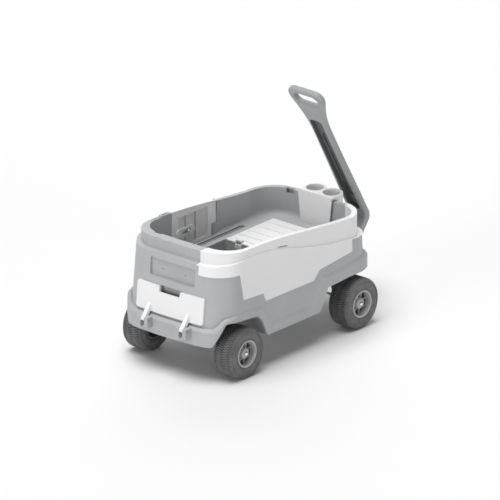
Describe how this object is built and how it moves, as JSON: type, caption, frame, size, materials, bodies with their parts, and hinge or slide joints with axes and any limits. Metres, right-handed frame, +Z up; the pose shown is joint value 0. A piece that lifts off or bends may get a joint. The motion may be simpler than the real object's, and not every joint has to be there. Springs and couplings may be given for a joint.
{
  "type": "pull wagon",
  "caption": "Four-wheeled moulded pull wagon with a steered front axle, bent tow handle, side door, drop-down rear hatch, lidded seat storage and cup holders.",
  "frame": {"origin": "on the ground under the middle of the bounding box", "axes": "+X towards the tow handle, +Y to the door side, +Z up"},
  "size_m": [1.347, 0.628, 1.0492],
  "materials": {
    "body_grey": "satin moulded",
    "panel_white": "satin moulded",
    "handle_grey": "satin moulded",
    "chassis_grey": "textured",
    "steel": "zinc plated",
    "chrome": "bright",
    "tyre": "matt moulded tread",
    "rim_grey": "satin moulded",
    "bushing_nylon": "natural nylon"
  },
  "bodies": {
    "chassis": {"body_shell": "body_grey", "cargo_deck": "body_grey", "skirt": "body_grey", "footwell_bin": "body_grey", "storage_bin": "body_grey", "trunk_bin": "body_grey", "underpan": "body_grey", "rim_socket": "body_grey", "side_panel_right": "panel_white", "cup_holder": "panel_white", "rear_axle_brackets": "chassis_grey", "steering_bolster": "chassis_grey", "lid_hinge_brackets": "panel_white", "thrust_washer": "chassis_grey", "rear_axle": "steel", "kingpin": "steel", "kingpin_nut": "steel", "hatch_hinge_pins": "steel", "lid_hinge_pins": "steel", "door_hinge_pin": "steel", "bolster_screws": "steel", "rear_axle_spacers": "steel", "rear_axle_caps": "chrome"},
    "steering": {"steering_carrier": "chassis_grey", "front_axle": "steel", "front_axle_spacers": "steel", "front_axle_caps": "chrome", "handle_pivot_pin": "steel", "handle_pivot_nut": "steel"},
    "handle": {"handle": "handle_grey"},
    "side_door": {"side_door": "panel_white"},
    "door_latch": {"door_latch_bolt": "chrome", "door_latch_knob": "chrome"},
    "rear_hatch": {"rear_hatch": "panel_white"},
    "seat_lid": {"seat_lid": "panel_white"},
    "wheel_rear_left": {"tyre_rear_left": "tyre", "rim_rear_left": "rim_grey", "bushings_rear_left": "bushing_nylon"},
    "wheel_rear_right": {"tyre_rear_right": "tyre", "rim_rear_right": "rim_grey", "bushings_rear_right": "bushing_nylon"},
    "wheel_front_left": {"tyre_front_left": "tyre", "rim_front_left": "rim_grey", "bushings_front_left": "bushing_nylon"},
    "wheel_front_right": {"tyre_front_right": "tyre", "rim_front_right": "rim_grey", "bushings_front_right": "bushing_nylon"}
  },
  "joints": [
    {"name": "steering_turn", "type": "hinge", "parent": "chassis", "child": "steering", "pos_m": [0.313, 0, 0.2], "axis": [0, 0, 1], "range_deg": [-25, 25]},
    {"name": "handle_fold", "type": "hinge", "parent": "steering", "child": "handle", "pos_m": [0.5015, 0, 0.14], "axis": [0, 1, 0], "range_deg": [0, 75]},
    {"name": "door_swing", "type": "hinge", "parent": "chassis", "child": "side_door", "pos_m": [-0.0035, 0.268, 0.45], "axis": [0, 0, -1], "range_deg": [0, 90]},
    {"name": "latch_slide", "type": "slide", "parent": "side_door", "child": "door_latch", "axis": [-1, 0, 0], "range_m": [0, 0.016]},
    {"name": "hatch_drop", "type": "hinge", "parent": "chassis", "child": "rear_hatch", "pos_m": [-0.6625, 0, 0.235], "axis": [0, -1, 0], "range_deg": [0, 100]},
    {"name": "lid_lift", "type": "hinge", "parent": "chassis", "child": "seat_lid", "pos_m": [-0.0135, 0, 0.401], "axis": [0, -1, 0], "range_deg": [0, 100]},
    {"name": "spin_rear_left", "type": "hinge", "parent": "chassis", "child": "wheel_rear_left", "pos_m": [-0.46, 0.259, 0.115], "axis": [0, 1, 0], "continuous": true},
    {"name": "spin_rear_right", "type": "hinge", "parent": "chassis", "child": "wheel_rear_right", "pos_m": [-0.46, -0.259, 0.115], "axis": [0, 1, 0], "continuous": true},
    {"name": "spin_front_left", "type": "hinge", "parent": "steering", "child": "wheel_front_left", "pos_m": [0.313, 0.259, 0.115], "axis": [0, 1, 0], "continuous": true},
    {"name": "spin_front_right", "type": "hinge", "parent": "steering", "child": "wheel_front_right", "pos_m": [0.313, -0.259, 0.115], "axis": [0, 1, 0], "continuous": true}
  ]
}
